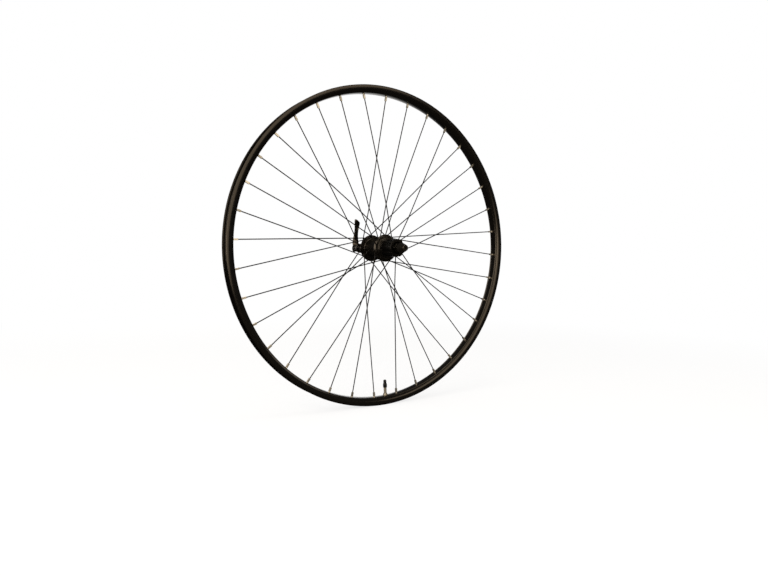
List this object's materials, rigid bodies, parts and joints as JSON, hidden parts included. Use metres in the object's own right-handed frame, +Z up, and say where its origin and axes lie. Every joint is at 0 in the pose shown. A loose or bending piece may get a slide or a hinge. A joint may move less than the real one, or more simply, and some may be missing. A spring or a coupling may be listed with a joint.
{
  "type": "bicycle rear wheel",
  "caption": "Spoked rear bicycle wheel without tyre: black double-wall rim, crossed spokes, flanged hub with splined cassette body and quick-release axle.",
  "frame": {"origin": "on the axle line in the rim's middle plane", "axes": "+Y along the axle to the lever side, +Z up, +X forward, drive side at -Y"},
  "size_m": [0.6339, 0.1976, 0.634],
  "materials": {
    "rim_aluminium": "satin black anodised",
    "spoke_steel": "black oxide",
    "nipple_brass": "nickel plated",
    "hub_aluminium": "gloss black anodised",
    "bearing_steel": "ground",
    "ball_steel": "polished",
    "axle_steel": "zinc plated",
    "nut_steel": "black plated",
    "body_steel": "dark plated",
    "lever_aluminium": "black anodised",
    "spring_steel": "bright wire",
    "seal_rubber": "matte",
    "cap_plastic": "gloss black",
    "tape_plastic": "woven band",
    "valve_brass": "nickel plated"
  },
  "bodies": {
    "axle_set": {"axle": "axle_steel", "cone_lever_side": "bearing_steel", "cone_drive_side": "bearing_steel", "spacer_lever_side": "nut_steel", "spacer_drive_side": "nut_steel", "locknut_lever_side": "nut_steel", "locknut_drive_side": "nut_steel", "spring_lever_side": "spring_steel", "spring_drive_side": "spring_steel"},
    "wheel": {"rim": "rim_aluminium", "rim_tape": "tape_plastic", "spokes_lever_side_pulling": "spoke_steel", "spokes_lever_side_pushing": "spoke_steel", "spokes_drive_side_pulling": "spoke_steel", "spokes_drive_side_pushing": "spoke_steel", "nipples": "nipple_brass", "hub_shell": "hub_aluminium", "bearing_cup_lever_side": "bearing_steel", "dust_cap_lever_side": "nut_steel", "dust_cap_drive_side": "nut_steel", "freehub_carrier": "bearing_steel", "freehub_bolt": "axle_steel", "valve_stem": "valve_brass", "valve_foot": "seal_rubber", "valve_nut": "valve_brass", "valve_core": "valve_brass"},
    "balls": {"bearing_balls": "ball_steel"},
    "freehub": {"freehub_body": "body_steel", "freehub_seal": "seal_rubber"},
    "skewer": {"skewer_rod": "axle_steel", "lever_pivot_pin": "axle_steel"},
    "lever": {"cam_lever": "lever_aluminium"},
    "cup": {"cam_cup": "lever_aluminium"},
    "nut": {"skewer_nut": "lever_aluminium"},
    "cap": {"valve_cap": "cap_plastic"}
  },
  "joints": [
    {"name": "wheel_spin", "type": "hinge", "parent": "axle_set", "child": "wheel", "pos_m": [0, 0, 0], "axis": [0, 1, 0], "continuous": true},
    {"name": "ball_orbit", "type": "hinge", "parent": "axle_set", "child": "balls", "pos_m": [0, 0, 0], "axis": [0, 1, 0], "continuous": true},
    {"name": "freehub_spin", "type": "hinge", "parent": "wheel", "child": "freehub", "pos_m": [0, 0, 0], "axis": [0, 1, 0], "continuous": true},
    {"name": "skewer_turn", "type": "hinge", "parent": "axle_set", "child": "skewer", "pos_m": [0, 0, 0], "axis": [0, 1, 0], "continuous": true},
    {"name": "lever_swing", "type": "hinge", "parent": "skewer", "child": "lever", "pos_m": [0, 0.1001, 0], "axis": [-1, 0, 0], "range_deg": [0, 180]},
    {"name": "cup_travel", "type": "slide", "parent": "skewer", "child": "cup", "axis": [0, 1, 0], "range_m": [0, 0.003], "deforming": ["spring_lever_side"]},
    {"name": "nut_turn", "type": "hinge", "parent": "skewer", "child": "nut", "pos_m": [0, 0, 0], "axis": [0, -1, 0], "continuous": true},
    {"name": "cap_pull", "type": "slide", "parent": "wheel", "child": "cap", "axis": [-0.0572, 0, 0.9984], "range_m": [0, 0.016]}
  ],
  "couplings": [
    {"joint": "ball_orbit", "follows": "wheel_spin", "ratio": 0.6146},
    {"joint": "cup_travel", "follows": "lever_swing", "m_per_rad": 0.00095493}
  ]
}
